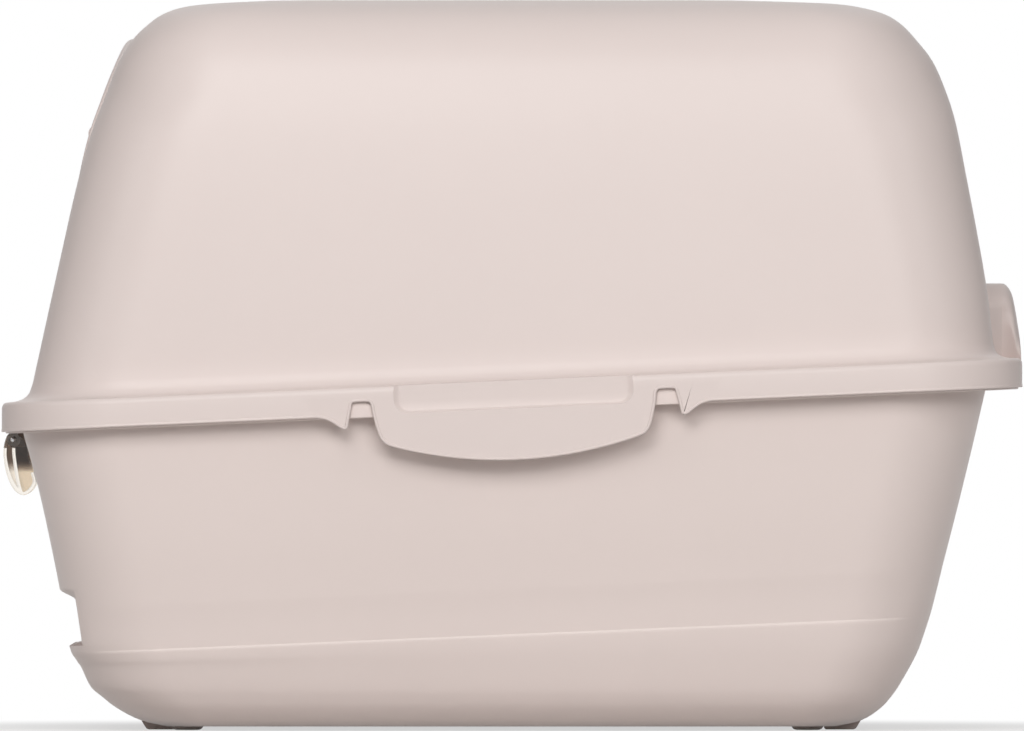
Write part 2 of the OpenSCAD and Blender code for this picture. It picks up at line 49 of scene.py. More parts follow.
camera_data = bpy.data.cameras.new("photo_camera")
camera_data.sensor_width = 36
camera_data.lens = camera_data.sensor_width * (stand_off - near_corner) / frame_width
camera_data.clip_end = 80
camera = bpy.data.objects.new("photo_camera", camera_data)
camera.location = (0, -stand_off, eye_height)
camera.rotation_euler = (math.radians(90), 0, 0)
bpy.context.collection.objects.link(camera)
bpy.context.scene.camera = camera
bpy.context.scene.view_settings.view_transform = "Standard"

# Floor: a plain pale studio sheet that fades into the white backdrop away from the object. It
# keeps the soft shadow that the feet and the tray throw on it.
floor_half = 8.0
floor_colour = (0.66, 0.65, 0.64, 1)
fade_start = 0.22
fade_end = 0.5

floor_mesh = bpy.data.meshes.new("studio_floor")
floor_mesh.from_pydata([(-floor_half, -floor_half, 0), (floor_half, -floor_half, 0),
                        (floor_half, floor_half, 0), (-floor_half, floor_half, 0)], [], [(0, 1, 2, 3)])
floor = bpy.data.objects.new("studio_floor", floor_mesh)
bpy.context.collection.objects.link(floor)


def seen_directly(nodes, links):
    """1 for rays that show a surface to the viewer: camera, mirror and see-through rays."""
    path = nodes.new("ShaderNodeLightPath")
    first = nodes.new("ShaderNodeMath")
    first.operation = "MAXIMUM"
    second = nodes.new("ShaderNodeMath")
    second.operation = "MAXIMUM"
    links.new(path.outputs["Is Camera Ray"], first.inputs[0])
    links.new(path.outputs["Is Glossy Ray"], first.inputs[1])
    links.new(first.outputs[0], second.inputs[0])
    links.new(path.outputs["Is Transmission Ray"], second.inputs[1])
    return second.outputs[0]


floor_paint = bpy.data.materials.new("studio_floor")
floor_paint.use_nodes = True
nodes, links = floor_paint.node_tree.nodes, floor_paint.node_tree.links
nodes.clear()
sheet = nodes.new("ShaderNodeBsdfDiffuse")
sheet.inputs["Color"].default_value = floor_colour
white = nodes.new("ShaderNodeEmission")
where = nodes.new("ShaderNodeTexCoord")
reach = nodes.new("ShaderNodeVectorMath")
reach.operation = "LENGTH"
links.new(where.outputs["Object"], reach.inputs[0])
fade = nodes.new("ShaderNodeMapRange")
fade.interpolation_type = "SMOOTHSTEP"
fade.inputs["From Min"].default_value = fade_start
fade.inputs["From Max"].default_value = fade_end
fade.inputs["To Min"].default_value = 0.6
links.new(reach.outputs["Value"], fade.inputs["Value"])
share = nodes.new("ShaderNodeMath")
share.operation = "MULTIPLY"
links.new(fade.outputs["Result"], share.inputs[0])
links.new(seen_directly(nodes, links), share.inputs[1])
blend = nodes.new("ShaderNodeMixShader")
links.new(share.outputs[0], blend.inputs[0])
links.new(sheet.outputs[0], blend.inputs[1])
links.new(white.outputs[0], blend.inputs[2])
floor_out = nodes.new("ShaderNodeOutputMaterial")
links.new(blend.outputs[0], floor_out.inputs["Surface"])
floor_mesh.materials.append(floor_paint)

# Studio light: a white room that is dimmer to the two sides, a big soft source high in front, a
# fill beside it and a small one off each end. The view and see-through rays meet plain white.
room_level = 0.26
side_level = 0.18
mirrored_side = 0.25

world = bpy.data.worlds.new("studio_room")
world.use_nodes = True
nodes, links = world.node_tree.nodes, world.node_tree.links
nodes.clear()
where = nodes.new("ShaderNodeTexCoord")
split = nodes.new("ShaderNodeSeparateXYZ")
links.new(where.outputs["Generated"], split.inputs[0])
sideways = nodes.new("ShaderNodeMath")
sideways.operation = "ABSOLUTE"
links.new(split.outputs["X"], sideways.inputs[0])


def dimmed_sideways(from_min, from_max, ahead, aside):
    """A level that falls from ahead to aside as the direction turns towards the object's ends."""
    level = nodes.new("ShaderNodeMapRange")
    level.inputs["From Min"].default_value = from_min
    level.inputs["From Max"].default_value = from_max
    level.inputs["To Min"].default_value = ahead
    level.inputs["To Max"].default_value = aside
    links.new(sideways.outputs[0], level.inputs["Value"])
    return level.outputs["Result"]


path = nodes.new("ShaderNodeLightPath")
level = nodes.new("ShaderNodeMix")
links.new(path.outputs["Is Glossy Ray"], level.inputs[0])
links.new(dimmed_sideways(0.35, 0.85, room_level, side_level), level.inputs[2])
links.new(dimmed_sideways(0.2, 0.6, 1, mirrored_side), level.inputs[3])
room = nodes.new("ShaderNodeBackground")
room.inputs["Color"].default_value = (1, 1, 1, 1)
links.new(level.outputs[0], room.inputs["Strength"])
backdrop = nodes.new("ShaderNodeBackground")
backdrop.inputs["Color"].default_value = (1, 1, 1, 1)
direct = nodes.new("ShaderNodeMath")
direct.operation = "MAXIMUM"
links.new(path.outputs["Is Camera Ray"], direct.inputs[0])
links.new(path.outputs["Is Transmission Ray"], direct.inputs[1])
either = nodes.new("ShaderNodeMixShader")
links.new(direct.outputs[0], either.inputs[0])
links.new(room.outputs[0], either.inputs[1])
links.new(backdrop.outputs[0], either.inputs[2])
world_out = nodes.new("ShaderNodeOutputWorld")
links.new(either.outputs[0], world_out.inputs["Surface"])
bpy.context.scene.world = world


def softbox(name, place, target, width, height, watts):
    lamp = bpy.data.lights.new(name, "AREA")
    lamp.shape = "RECTANGLE"
    lamp.size = width
    lamp.size_y = height
    lamp.energy = watts
    box = bpy.data.objects.new(name, lamp)
    box.location = place
    box.rotation_euler = (Vector(target) - Vector(place)).to_track_quat("-Z", "Y").to_euler()
    bpy.context.collection.objects.link(box)


softbox("key_softbox", (-0.5, -2.5, 1.7), (0, 0, 0.2), 1.6, 1.2, 35)
softbox("fill_softbox", (0.9, -2.6, 1.1), (0, 0, 0.2), 1.2, 0.8, 12)
softbox("front_softbox", (-2.2, -1.4, 1.3), (0, 0, 0.2), 0.8, 0.8, 6)
softbox("rear_softbox", (2.2, -1.4, 1.3), (0, 0, 0.2), 0.8, 0.8, 6)

# Tray: one deep moulding in satin beige plastic with a turned-over rim, a finger groove across its
# front wall, a shallow band round its foot, four wedge feet and two lugs for the pull handle.
# Heights, insets and lengths are in millimetres until a mesh is made of them.
half_length = 280
half_width = 200
wall = 2.4
side_bow = 0.03
rim_slope = 0.044
rim_top = 191.7
skirt_height = 16.1
skirt_low = rim_top - skirt_height
skirt_thick = 2.2
rim_radius = 62
corner_steps = 14
long_steps = 30
short_steps = 16
sub_levels = 4

# Each level is height at mid-length, front, rear and side insets from the overall box,
# corner radius, and its share of the rim's slope.
tray_levels = [
    (2.2, 90, 102, 58, 30, 0), (5.5, 76, 88, 49, 38, 0), (12, 63.5, 78, 40.5, 42, 0),
    (18.6, 55, 72, 35.5, 44, 0), (25, 49, 67, 32.5, 46, 0.1), (38, 44, 58.5, 28.5, 48, 0.35),
    (46, 41.5, 54, 26.5, 49, 0.75), (56.9, 37.4, 49.8, 25, 49.6, 1), (82.4, 33.3, 43.4, 22, 50, 1),
    (110, 28, 36.3, 18.5, 50.5, 1), (145, 20.4, 27.7, 15, 51, 1), (175.8, 12, 20.5, 11.5, 52, 1),
    (186.6, 9.5, 17.5, 9.7, 52.5, 1)]
groove_low = 56.9
groove_floor_drop = 3.6
groove_deep = 7.5
groove_high = 82.4
groove_top = 88.1
band_low = 52
band_high = 78.5
band_fade = 10
band_deep = 0.7


def between(levels, t):
    """The level at place t along a list, on a smooth curve through all of them."""
    i = max(min(int(t), len(levels) - 2), 0)
    u = t - i
    a = levels[max(i - 1, 0)]
    b = levels[i]
    c = levels[i + 1]
    d = levels[min(i + 2, len(levels) - 1)]
    return tuple(0.5 * (2 * q + (r - p) * u + (2 * p - 5 * q + 4 * r - s) * u * u
                        + (3 * q - p - 3 * r + s) * u ** 3) for p, q, r, s in zip(a, b, c, d))


def place_of(levels, height):
    """The place along a list of levels where the curve is at this height."""
    low, high = 0.0, float(len(levels) - 1)
    for _ in range(30):
        middle = (low + high) / 2
        if between(levels, middle)[0] < height:
            low = middle
        else:
            high = middle
    return low


def outline(level):
    """Points round a level, anticlockwise from above, each with the direction that it faces."""
    _, front, rear, side, radius, _ = level
    x0 = -half_length + front + radius
    x1 = half_length - rear - radius
    y1 = half_width - side - radius
    points = []
    for cx, cy, start in ((x1, y1, 0), (x0, y1, 90), (x0, -y1, 180), (x1, -y1, 270)):
        for k in range(corner_steps + 1):
            a = start + 90 * k / corner_steps
            turn = math.radians(a)
            points.append((cx + radius * math.cos(turn), cy + radius * math.sin(turn), a))
        steps = long_steps if start in (0, 180) else short_steps
        nx, ny = {0: (x0, y1 + radius), 90: (x0 - radius, -y1),
                  180: (x1, -y1 - radius), 270: (x1 + radius, y1)}[start]
        sx, sy, _ = points[-1]
        for k in range(1, steps):
            points.append((sx + (nx - sx) * k / steps, sy + (ny - sy) * k / steps, start + 90))
    return points


def no_push(facing, height):
    return 0, 0, 0


def ring(level, push=no_push, height=None):
    """A ring in space. push gives how far the front goes inwards and up, and the sides inwards."""
    points = []
    for x, y, facing in outline(level):
        inwards, upwards, sideways = push(facing, level[0] if height is None else height)
        z = level[0] + level[5] * rim_slope * x + upwards
        x += inwards
        y -= math.copysign(sideways, y)
        y *= 1 - side_bow * (x / half_length) ** 2
        points.append((x, y, z))
    return points


def lean(levels, t):
    """How far the wall leans in from upright at place t, in radians."""
    a = between(levels, max(t - 0.05, 0))
    b = between(levels, min(t + 0.05, len(levels) - 1))
    return math.atan2(b[3] - a[3], b[0] - a[0])


def inside(levels, t):
    """The inner face of the wall at place t."""
    z, front, rear, side, radius, share = between(levels, t)
    a = lean(levels, t)
    c, s = wall * math.cos(a), wall * math.sin(a)
    return z - s, front + c, rear + c, side + c, radius - c, share


def rim_level(height, inset):
    return height, inset, inset, inset, rim_radius - inset, 1


def make(name, points, faces, tidy=False):
    """An object from points in millimetres."""
    mesh = bpy.data.meshes.new(name)
    mesh.from_pydata([(x * mm, y * mm, z * mm) for x, y, z in points], [], faces)
    if tidy:
        shape = bmesh.new()
        shape.from_mesh(mesh)
        bmesh.ops.recalc_face_normals(shape, faces=shape.faces)
        shape.to_mesh(mesh)
        shape.free()
    mesh.update()
    piece = bpy.data.objects.new(name, mesh)
    bpy.context.collection.objects.link(piece)
    return piece


def solid(name, rings, closed=False, tidy=False):
    """A skin through rings, capped at the first and the last, or closed on itself."""
    n = len(rings[0])
    m = len(rings)
    faces = [] if closed else [tuple(range(n - 1, -1, -1)), tuple((m - 1) * n + j for j in range(n))]
    for i in range(m if closed else m - 1):
        for j in range(n):
            a, b, up = i * n, j, (i + 1) % m * n
            k = (j + 1) % n
            faces.append((a + b, a + k, up + k, up + b))
    return make(name, [p for r in rings for p in r], faces, tidy)


def step_up(value, low, high):
    u = min(max((value - low) / (high - low), 0), 1)
    return u * u * (3 - 2 * u)


def tray_push(facing, height):
    """Groove across the front wall and band along the sides."""
    front = step_up(-abs(facing - 180), -33, -27)
    side = step_up(-min(abs(facing - 90), abs(facing - 270)), -47, -40)
    deep = step_up(height, groove_low, groove_low + 0.3) - step_up(height, groove_high, groove_top)
    drop = deep * (1 - step_up(height, groove_low + 0.4, groove_low + 6))
    band = step_up(height, band_low, band_low + 1) - step_up(height, band_high - band_fade, band_high)
    return front * deep * groove_deep, -front * drop * groove_floor_drop, side * band * band_deep


tray_last = len(tray_levels) - 1
extra_heights = (51.9, 52.3, 52.7, 53.1, 56.7, 56.95, 57.1, 57.25, 57.6, 58.6, 60, 62,
                 77.4, 77.8, 78.2, 78.6, 82, 83.4, 84.6, 85.8, 87, 88.2)
tray_places = sorted([k / sub_levels for k in range(tray_last * sub_levels + 1)]
                     + [place_of(tray_levels, h) for h in extra_heights])
flange = rim_top - 2.7
tray_in = skirt_thick + 0.5
tray_lip = skirt_low - 0.9
tray_rings = [ring(between(tray_levels, t), tray_push) for t in tray_places]
tray_rings += [ring(rim_level(h, i)) for h, i in (
    (flange - 2.1, tray_in + 2.8), (flange - 2.9, tray_in + 2), (tray_lip + 0.4, tray_in + 2),
    (tray_lip, tray_in + 1.6), (tray_lip, tray_in + 0.4), (tray_lip + 0.4, tray_in),
    (flange - 1, tray_in), (flange - 0.4, tray_in + 0.2), (flange, tray_in + 0.9))]
tray_rings.append(ring((flange, 11.4, 19.4, 11.6, 50.6, 1)))
tray_rings.append(ring((flange - 0.3, 11.8, 19.8, 12, 50.2, 1)))
for t in reversed(tray_places):
    tray_rings.append(ring(inside(tray_levels, t), tray_push, between(tray_levels, t)[0]))
tray = solid("tray_moulding", tray_rings)


def prism(name, points, low, high, along="y"):
    """A closed bar with a flat outline: (x, z) drawn along y, or (y, z) drawn along x."""
    rings = []
    for c in sorted((low, high)):
        rings.append([(a, c, b) if along == "y" else (c, a, b) for a, b in points])
    return solid(name, rings, tidy=True)


def carve(piece, operation, tools):
    """Cuts or joins the piece with the tools, which are used up."""
    for tool in tools:
        change = piece.modifiers.new("carve", "BOOLEAN")
        change.operation = operation
        change.solver = "MANIFOLD"
        change.object = tool
    depsgraph = bpy.context.evaluated_depsgraph_get()
    made = bpy.data.meshes.new_from_object(piece.evaluated_get(depsgraph))
    piece.modifiers.clear()
    old = piece.data
    piece.data = made
    bpy.data.meshes.remove(old)
    for tool in tools:
        bpy.data.objects.remove(tool)
    return piece


def finish_surface(piece, material, sharp=32):
    """Smooth shading with crisp edges, and the piece's material."""
    piece.data.polygons.foreach_set("use_smooth", [True] * len(piece.data.polygons))
    piece.data.set_sharp_from_angle(angle=math.radians(sharp))
    piece.data.materials.clear()
    piece.data.materials.append(material)
    return piece


def moulded_plastic(name, colour, roughness, grain=0.05, edge=0.5):
    """Satin moulded plastic: spark-eroded grain, faint unevenness of tint and sheen, softened edges."""
    made = bpy.data.materials.new(name)
    made.use_nodes = True
    nodes, links = made.node_tree.nodes, made.node_tree.links
    skin = nodes["Principled BSDF"]
    skin.inputs["IOR"].default_value = 1.49
    skin.inputs["Specular IOR Level"].default_value = 0.35
    where = nodes.new("ShaderNodeTexCoord")
    cloud = nodes.new("ShaderNodeTexNoise")
    cloud.inputs["Scale"].default_value = 5
    cloud.inputs["Detail"].default_value = 3
    links.new(where.outputs["Object"], cloud.inputs["Vector"])
    tint = nodes.new("ShaderNodeMix")
    tint.data_type = "RGBA"
    tint.inputs[6].default_value = tuple(c * 0.975 for c in colour) + (1,)
    tint.inputs[7].default_value = tuple(min(c * 1.025, 1) for c in colour) + (1,)
    links.new(cloud.outputs["Fac"], tint.inputs[0])
    links.new(tint.outputs[2], skin.inputs["Base Color"])
    grains = nodes.new("ShaderNodeTexNoise")
    grains.inputs["Scale"].default_value = 1400
    grains.inputs["Detail"].default_value = 2
    links.new(where.outputs["Object"], grains.inputs["Vector"])
    sheen = nodes.new("ShaderNodeMapRange")
    sheen.inputs["To Min"].default_value = roughness - 0.04
    sheen.inputs["To Max"].default_value = roughness + 0.06
    links.new(grains.outputs["Fac"], sheen.inputs["Value"])
    links.new(sheen.outputs["Result"], skin.inputs["Roughness"])
    softened = nodes.new("ShaderNodeBevel")
    softened.samples = 4
    softened.inputs["Radius"].default_value = edge * mm
    relief = nodes.new("ShaderNodeBump")
    relief.inputs["Strength"].default_value = grain
    relief.inputs["Distance"].default_value = 0.2 * mm
    links.new(grains.outputs["Fac"], relief.inputs["Height"])
    links.new(softened.outputs["Normal"], relief.inputs["Normal"])
    links.new(relief.outputs["Normal"], skin.inputs["Normal"])
    return made


def leaning(x, z):
    """A point given along the rim and up from its top, leant with the rim."""
    a = math.atan(rim_slope)
    return x * math.cos(a) - z * math.sin(a), rim_top + x * math.sin(a) + z * math.cos(a)


def disc(cx, cz, radius, steps=48):
    return [(cx + radius * math.cos(2 * math.pi * k / steps), cz + radius * math.sin(2 * math.pi * k / steps))
            for k in range(steps)]


tongue_middle = 0.5
tongue_half = 75
pocket_half = 65
pocket_deep = 3.5
pocket_back = half_width - pocket_deep - 2.5
handle_x = -half_length + 5.5
handle_z = 159
lug_places = (-17, 17)
lug_half = 3
lug_round = 4
lug_reach = 8.6

wedge = [(-11.5, 2.6), (-11.5, 0.8), (-10.8, 0), (4.4, 0), (5.6, 0.5), (6.4, 1.5), (9.5, 6.6), (-2, 3.8)]
wedge_feet = []
for end, middle in ((-1, -195), (1, 183)):
    for y in (-76, 76):
        wedge_feet.append(prism("wedge_foot", [(middle + end * a, b) for a, b in wedge], y - 11, y + 11))
carve(tray, "UNION", wedge_feet)
notches = []
for s in (-1, 1):
    corners = [leaning(tongue_middle + a * (pocket_half + 4), b)
               for a, b in ((-1, -40), (1, -40), (1, 10), (-1, 10))]
    notches.append(prism("tongue_notch", corners, s * pocket_back, s * 210))
notches.append(prism("grip_notch", [(262.8, 150), (300, 150), (300, 220), (262.8, 220)], -55.6, 55.6))
carve(tray, "DIFFERENCE", notches)
lugs = []
for y in lug_places:
    lugs.append(prism("lug", [(handle_x, handle_z - lug_round), (handle_x + lug_reach, handle_z - lug_round),
                              (handle_x + lug_reach, handle_z + lug_round), (handle_x, handle_z + lug_round)],
                      y - lug_half, y + lug_half))
    lugs.append(prism("lug_eye", disc(handle_x, handle_z, lug_round), y - lug_half, y + lug_half))
carve(tray, "UNION", lugs)
# Painted light: the tray's own beige is lifted a shade above the hood's, though both are the same plastic, to
# make up for the shade on the tray's walls below the rim.
tray_plastic = moulded_plastic("tray_plastic", (0.82, 0.71, 0.67), 0.4)
finish_surface(tray, tray_plastic)
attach(tray, "base")
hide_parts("tray")

# Foot pads: soft moulded discs with a domed underside, pressed into recesses under the tray.
pad_places = {"front_left": (-178, 112), "front_right": (-178, -112),
              "rear_left": (162, 112), "rear_right": (162, -112)}
pad_profile = [(0.6, 0.05), (3, 0), (6.2, 0.05), (7.3, 0.35), (8.1, 0.95), (8.6, 1.7), (8.8, 2.5), (8.8, 3)]

rubber = moulded_plastic("soft_rubber", (0.78, 0.68, 0.64), 0.6, 0.12, 0.3)
for place, (x, y) in pad_places.items():
    rings = [[(x + a, y + b, z) for a, b in disc(0, 0, r, 56)] for r, z in pad_profile]
    pad = solid("pad_" + place, rings)
    finish_surface(pad, rubber, 50)
    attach(pad, "base")
    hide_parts("foot_pad_" + place)

# Hood: one deep moulding in the same satin plastic, a shade lighter, whose skirt drops over the
# tray's rim. Each side has a springy tongue between two slots, a bead along its edge and a finger
# pocket over it; the rear has a hollow grip, and the roof an opening with a hinge trough.
hood_levels = [
    (194.8, 16, 16, 15, 52, 1), (230, 24.2, 19.5, 17.5, 54, 0.81), (265, 32.4, 25, 20.5, 56, 0.62),
    (300, 40.7, 31.2, 24, 58, 0.43), (330, 49.2, 36.7, 28, 60, 0.27), (350, 57.4, 42.6, 32, 62, 0.16),
    (366, 63.8, 49.4, 36.5, 58, 0.08), (378, 71.5, 58, 42.5, 52, 0), (386.5, 80, 66, 49.5, 46, 0),
    (392.5, 88.5, 75.5, 57.5, 41, 0), (396.5, 100, 90, 67, 38, 0), (398.6, 118, 108, 76, 36, 0),
    (400, 146, 150, 83, 36, 0)]
ledge_under = 189.4
skirt_face = 0.6
bead_radius = 0.9
flare = tongue_half + 17.5
tongue_low = -skirt_height - 27.5

end_inset = 0.45
foot_end = rim_top + 7
hood_last = len(hood_levels) - 1
hood_places = [k / sub_levels for k in range(hood_last * sub_levels + 1)]
hood_rings = [ring(inside(hood_levels, t)) for t in reversed(hood_places)]
hood_rings += [ring(level) for level in (
    (191.3, 18.4, 22.8, 17.4, 49, 1), (184.4, 18.2, 22.8, 17.4, 49, 1), (184, 17.9, 22.5, 17.1, 49.3, 1),
    (184, 16.5, 21.2, 15.7, 50.7, 1), (184.4, 16.2, 20.9, 15.4, 51, 1), (ledge_under, 16, 20.6, 15.2, 51, 1))]
hood_rings += [ring((h, max(i, end_inset), max(i, end_inset), i, rim_radius - i, 1)) for h, i in (
    (ledge_under, 2.7), (ledge_under - 0.5, 2.2), (skirt_low + 0.5, 2.2), (skirt_low + 0.1, 1.9),
    (skirt_low, 1.4), (skirt_low + 0.05, 0.8), (skirt_low + 0.22, 0.3), (skirt_low + 0.5, 0.05),
    (skirt_low + 0.9, 0), (skirt_low + 1.3, 0.08), (skirt_low + 1.6, 0.3), (skirt_low + 1.8, skirt_face),
    (skirt_low + 2.3, skirt_face), (rim_top - 3.2, skirt_face), (rim_top - 2, skirt_face + 0.25),
    (rim_top - 1.1, skirt_face + 0.7), (rim_top - 0.5, skirt_face + 1.3), (rim_top - 0.12, skirt_face + 2.1),
    (rim_top, skirt_face + 3.1))]
hood_rings += [ring(level) for level in (
    (rim_top + 0.1, 6.4, 6.4, 5.8, 58.6, 1), (rim_top + 0.5, 9.2, 9.2, 8.5, 56.6, 1),
    (rim_top + 1.4, 11.9, 11.9, 11.1, 54.8, 1), (rim_top + 2.8, 14, 13.9, 13, 53.4, 1),
    (rim_top + 4.8, 15.7, 15.4, 14.3, 52.5, 1))]
hood_rings += [ring(between(hood_levels, t)) for t in hood_places
               if between(hood_levels, t)[0] > foot_end]
hood = solid("hood_moulding", hood_rings)


def smoothed(points, steps=4):
    """A finer run of points on a smooth curve through all of them."""
    return [between(points, k / steps) for k in range((len(points) - 1) * steps + 1)]


def bowed(piece, slices=()):
    """Cuts a piece into strips along its length, then bends it to the bow of the sides."""
    shape = bmesh.new()
    shape.from_mesh(piece.data)
    for x in slices:
        everything = list(shape.verts) + list(shape.edges) + list(shape.faces)
        bmesh.ops.bisect_plane(shape, geom=everything, plane_co=(x * mm, 0, 0), plane_no=(1, 0, 0))
    for v in shape.verts:
        v.co.y *= 1 - side_bow * (v.co.x / (half_length * mm)) ** 2
    shape.to_mesh(piece.data)
    shape.free()
    return piece


def slab(name, x0, x1, y, radius, levels, steps=12):
    """A rounded rectangle lofted through (height, inset) levels."""
    rings = []
    for z, inset in levels:
        r = radius - inset
        points = []
        for cx, cy, start in ((x1 - inset - r, y - inset - r, 0), (x0 + inset + r, y - inset - r, 90),
                              (x0 + inset + r, inset + r - y, 180), (x1 - inset - r, inset + r - y, 270)):
            for k in range(steps + 1):
                a = math.radians(start + 90 * k / steps)
                points.append((cx + r * math.cos(a), cy + r * math.sin(a), z))
        rings.append(points)
    return solid(name, rings)


# The edge of one side, from its middle to one end: tongue, slot, flare and skirt.
half_edge = [(8.6 * k, tongue_low + 0.0022 * (8.6 * k) ** 2) for k in range(8)]
half_edge += [(tongue_half + a, b) for a, b in (
    (-6.3, tongue_low + 10.6), (-3.4, tongue_low + 12.4), (-1.2, tongue_low + 15.4), (0.4, tongue_low + 20),
    (2.2, -skirt_height), (2.9, -10.9), (3.5, -9.2), (5, -8.3))]
half_edge += [(flare + a, b) for a, b in (
    (-5.6, -8.3), (-4.2, -9.2), (-3.8, -10.9), (-2.6, -skirt_height), (-1.5, -skirt_height - 5.4),
    (-0.2, -skirt_height - 6.7), (2, -skirt_height - 6.4), (5, -skirt_height - 4.3), (9, -skirt_height - 1.7),
    (13, -skirt_height - 0.4), (17, -skirt_height), (24, -skirt_height))]
half_edge = smoothed(half_edge)
side_edge = [(-x, z) for x, z in reversed(half_edge[1:])] + half_edge


def offset_path(points, distance):
    """The same path moved towards its left-hand side."""
    moved = []
    for i, (x, z) in enumerate(points):
        ax, az = points[max(i - 1, 0)]
        bx, bz = points[min(i + 1, len(points) - 1)]
        dx, dz = bx - ax, bz - az
        size = math.hypot(dx, dz) or 1
        moved.append((x - dz / size * distance, z + dx / size * distance))
    return moved


def tube(name, path, y, radius, sides=10):
    """A round bead along a path of (x, z) points."""
    rings = []
    for i, (x, z) in enumerate(path):
        ax, az = path[max(i - 1, 0)]
        bx, bz = path[min(i + 1, len(path) - 1)]
        size = math.hypot(bx - ax, bz - az) or 1
        nx, nz = -(bz - az) / size, (bx - ax) / size
        points = []
        for k in range(sides):
            a = 2 * math.pi * k / sides
            out = radius * math.cos(a)
            points.append((x + nx * out, y + radius * math.sin(a), z + nz * out))
        rings.append(points)
    return solid(name, rings, tidy=True)


def placed(points):
    return [leaning(tongue_middle + x, z) for x, z in points]


grip_half = 58
grip_waist = 5
grip_root = 4
grip_foot = 201.6
grip_profile = [(260.5, 245), (269.4, 245), (270.8, 244.8), (272.3, 243.8), (273.6, 242.2), (274.8, 240),
                (275.7, 237.4), (276.6, 233.2), (277.6, 227.6), (278.6, 221), (279.5, 214), (280, 207)]
hollow_profile = [(263.8, 242.6), (268.6, 242.6), (270.9, 241.4), (272.5, 238.8), (273.9, 234.8),
                  (275, 228.5), (276.1, 222), (277.4, 214), (277.7, 206)]


def section_inset(z):
    """How far the rear wall lies inside the box at one height."""
    rear_line = [(level[0], level[2]) for level in hood_levels]
    return between(rear_line, place_of(rear_line, z))[1]


def grip_loft(name, profile, half, waist, radius, foot):
    """The grip as rings seen from behind; profile is (x, top). Its ends are waisted below the top,
    and flare out where they meet the wall."""
    rings = []
    for x, top in profile:
        narrow = waist * max(0, 1 - ((x - 269.5) / 10.5) ** 2)
        bend = min(radius, top - foot - 1)
        side = [(half, foot + (top - bend - foot) * k / 12) for k in range(12)]
        for k in range(13):
            a = math.radians(90 * k / 12)
            side.append((half - bend * (1 - math.cos(a)), top - bend + bend * math.sin(a)))
        right = []
        for y, z in side:
            wall = half_length - section_inset(z)
            root = grip_root * max(0, 1 - max(0, x - wall) / grip_root) ** 2 if waist else 0
            right.append((x, y - narrow * (1 - step_up(z, 227, 238)) + root, z))
        rings.append([(x, -y, z) for x, y, z in right] + list(reversed(right)))
    return solid(name, rings, tidy=True)


hood_adds = [slab("roof_frame", -128, 110.6, 111, 46, [(393.4, 0), (398.6, 0)]),
             slab("trough_walls", 99.6, 121.5, 75, 3, [(387.4, 0), (398.6, 0)]),
             grip_loft("rear_grip", grip_profile, grip_half, grip_waist, 22, grip_foot)]
strips = [tongue_middle - 118 + 8 * k for k in range(30)]
skirt_gaps = []
skirt_plates = []
for s in (-1, 1):
    gap = placed([(-flare - 15, -34), (flare + 15, -34), (flare + 15, -7.2), (-flare - 15, -7.2)])
    skirt_gaps.append(bowed(prism("skirt_gap", gap, s * 197.4, s * 203), strips))
    outer = s * (half_width - skirt_face)
    inner = s * (half_width - skirt_thick)
    plate = placed(side_edge[4:-4] + [(flare + 19, -6), (-flare - 19, -6)])
    skirt_plates.append(bowed(prism("skirt_plate", plate, inner, outer), strips))
    skirt_plates.append(bowed(tube("edge_bead", placed(offset_path(side_edge, bead_radius)),
                                   s * (half_width - bead_radius), bead_radius)))
    skirt_plates.append(prism("pocket_back", placed([(-pocket_half - 2, -17.1), (pocket_half + 2, -17.1),
                                                     (pocket_half + 2, -0.3), (-pocket_half - 2, -0.3)]),
                              s * (pocket_back + 0.5), s * 198.6))
carve(hood, "DIFFERENCE", skirt_gaps)
carve(hood, "UNION", skirt_plates + hood_adds)


def pocket_ring(y, inset):
    """The finger pocket's outline at one depth: its walls lean in towards its floor."""
    half = pocket_half + 0.4 - inset
    low = 0.4 * inset - 15.3
    corner = 7.4 - 0.6 * inset
    left = [(-half, 5 - 2 * k) for k in range(5)]
    for k in range(11):
        a = math.radians(180 + 9 * k)
        left.append((corner - half + corner * math.cos(a), low + corner + corner * math.sin(a)))
    return [(x, y, z) for x, z in placed(left + [(-x, z) for x, z in reversed(left)])]


def arch_outline(grow, corner=10, side=14, crown=56):
    """The entry's arch grown outwards: (y, z) points from the foot, up one side and down the other."""
    w = 92 + grow
    rise = 40 + grow
    r = 16 + grow
    foot = 213 - grow
    points = []
    for k in range(corner + 1):
        a = math.radians(-90 + 90 * k / corner)
        points.append((w - r + r * math.cos(a), foot + r + r * math.sin(a)))
    for k in range(1, side):
        points.append((w, foot + r + (322 - foot - r) * k / side))
    for k in range(crown + 1):
        a = math.pi * k / crown
        points.append((w * math.cos(a), 322 + rise * math.sin(a)))
    for k in range(1, side):
        points.append((-w, 322 + (foot + r - 322) * k / side))
    for k in range(corner + 1):
        a = math.radians(180 + 90 * k / corner)
        points.append((r - w + r * math.cos(a), foot + r + r * math.sin(a)))
    return points


hatch_front = -122
hatch_rear = 106.6
hatch_half = 105
roof_corner = 40
roof_seat = 396.4
hinge_x = hatch_rear + 5.4
hinge_z = 395.4
barrel = 3.6
cuts = [
    slab("hatch_recess", hatch_front, hatch_rear, hatch_half, roof_corner,
         [(roof_seat, 0), (399.2, 0), (399.7, -0.15), (400.1, -0.5), (401, -1.4)]),
    slab("hatch_opening", hatch_front + 8, hatch_rear - 8, hatch_half - 8, roof_corner - 8,
         [(366, 0), (405, 0)]),
    slab("hinge_trough", hatch_rear - 2.6, hinge_x + 7, 72.5, 1, [(hinge_z - 5.4, 0), (405, 0)]),
    prism("entry_opening", arch_outline(12), -300, -180, "x"),
    grip_loft("grip_hollow", hollow_profile, grip_half - 8.6, 0, 17, 150)]
pocket_depths = ((204, -0.6), (199.5, -0.6), (199.2, -0.2), (198.9, 0.1), (197.1, 2.1), (196.7, 2.7),
                 (half_width - pocket_deep, 3.6))
